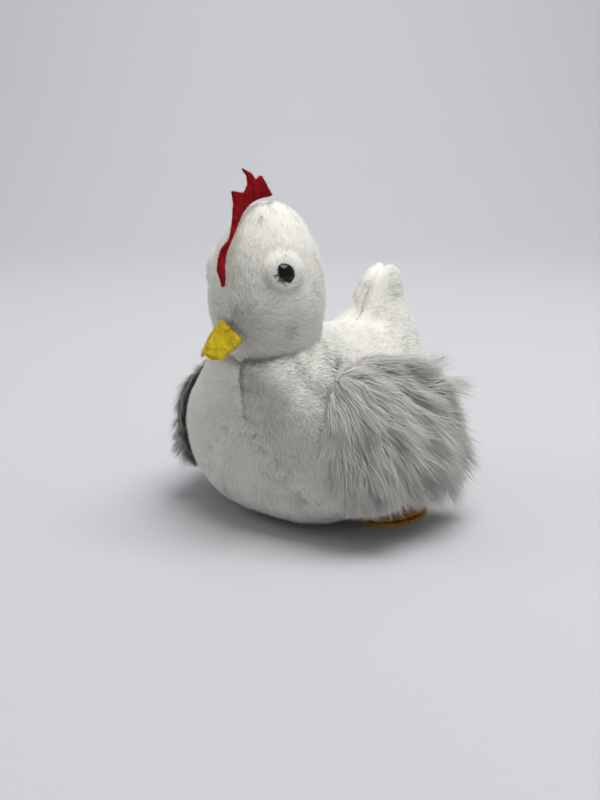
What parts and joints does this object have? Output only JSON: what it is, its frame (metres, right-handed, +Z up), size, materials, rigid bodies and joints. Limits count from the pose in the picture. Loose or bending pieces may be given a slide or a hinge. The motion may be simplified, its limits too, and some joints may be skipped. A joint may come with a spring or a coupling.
{
  "type": "wind-up hopping chicken",
  "caption": "Stuffed plush chicken with felt comb and beak and long-pile wings, over a hidden clockwork that kicks both feet.",
  "frame": {"origin": "on the floor, under the middle of the whole toy", "axes": "+Z up, -Y the way the chicken faces, +X its left side"},
  "size_m": [0.114, 0.1146, 0.1344],
  "materials": {
    "plush": "matte",
    "stuffing": "matte",
    "comb_felt": "matte",
    "beak_felt": "matte",
    "eye": "gloss",
    "washer": "matte",
    "wing_cloth": "matte",
    "wing_pile": "matte",
    "foot_plush": "matte",
    "foot_felt": "matte",
    "leg_plastic": "satin",
    "steel": "satin",
    "lever_plastic": "satin",
    "housing_plastic": "satin",
    "spring_steel": "satin",
    "gear_plastic": "satin",
    "brass": "satin",
    "grommet": "satin",
    "knob": "satin"
  },
  "bodies": {
    "body": {"left_body_panel": "plush", "right_body_panel": "plush", "belly_gusset": "plush", "body_stuffing": "stuffing", "left_head_panel": "plush", "right_head_panel": "plush", "head_stuffing": "stuffing", "comb": "comb_felt", "beak": "beak_felt", "left_eye": "eye", "right_eye": "eye", "eye_washers": "washer", "left_housing": "housing_plastic", "right_housing": "housing_plastic", "housing_screws": "steel", "mainspring": "spring_steel", "knob_grommet": "grommet"},
    "winding_shaft": {"spring_arbor": "steel", "great_wheel": "gear_plastic", "ratchet_wheel": "brass", "click": "steel", "click_rivet": "brass", "winding_knob": "knob", "knob_screw": "steel"},
    "second_shaft": {"second_axle": "steel", "second_pinion": "gear_plastic", "second_wheel": "gear_plastic"},
    "crank_shaft": {"crank_axle": "steel", "crank_pinion": "gear_plastic", "crank_disc": "gear_plastic", "crank_pin": "steel"},
    "feet": {"rocker_shaft": "steel", "rocker_lever": "lever_plastic", "left_leg": "leg_plastic", "right_leg": "leg_plastic", "left_foot_cover": "foot_plush", "right_foot_cover": "foot_plush", "left_foot_sole": "foot_felt", "right_foot_sole": "foot_felt"},
    "left_wing": {"left_wing_backing": "wing_cloth", "left_wing_pile": "wing_pile"},
    "right_wing": {"right_wing_backing": "wing_cloth", "right_wing_pile": "wing_pile"}
  },
  "joints": [
    {"name": "winding_turn", "type": "hinge", "parent": "body", "child": "winding_shaft", "pos_m": [0, 0.016, 0.0285], "axis": [1, 0, 0], "continuous": true},
    {"name": "second_turn", "type": "hinge", "parent": "body", "child": "second_shaft", "pos_m": [0, 0.001, 0.0328], "axis": [1, 0, 0], "continuous": true},
    {"name": "crank_turn", "type": "hinge", "parent": "body", "child": "crank_shaft", "pos_m": [0, -0.0105, 0.02413], "axis": [1, 0, 0], "continuous": true},
    {"name": "feet_kick", "type": "hinge", "parent": "body", "child": "feet", "pos_m": [0, 0.003, 0.015], "axis": [-1, 0, 0], "range_deg": [0, 13]},
    {"name": "left_wing_lift", "type": "hinge", "parent": "body", "child": "left_wing", "pos_m": [0.03101, -0.02679, 0.05865], "axis": [0.3151, -0.7293, -0.6073], "range_deg": [0, 40]},
    {"name": "right_wing_lift", "type": "hinge", "parent": "body", "child": "right_wing", "pos_m": [-0.03101, -0.02679, 0.05865], "axis": [0.3151, 0.7293, 0.6073], "range_deg": [0, 40]}
  ],
  "couplings": [
    {"joint": "second_turn", "follows": "winding_turn", "ratio": -3.3333},
    {"joint": "crank_turn", "follows": "winding_turn", "ratio": 10}
  ]
}
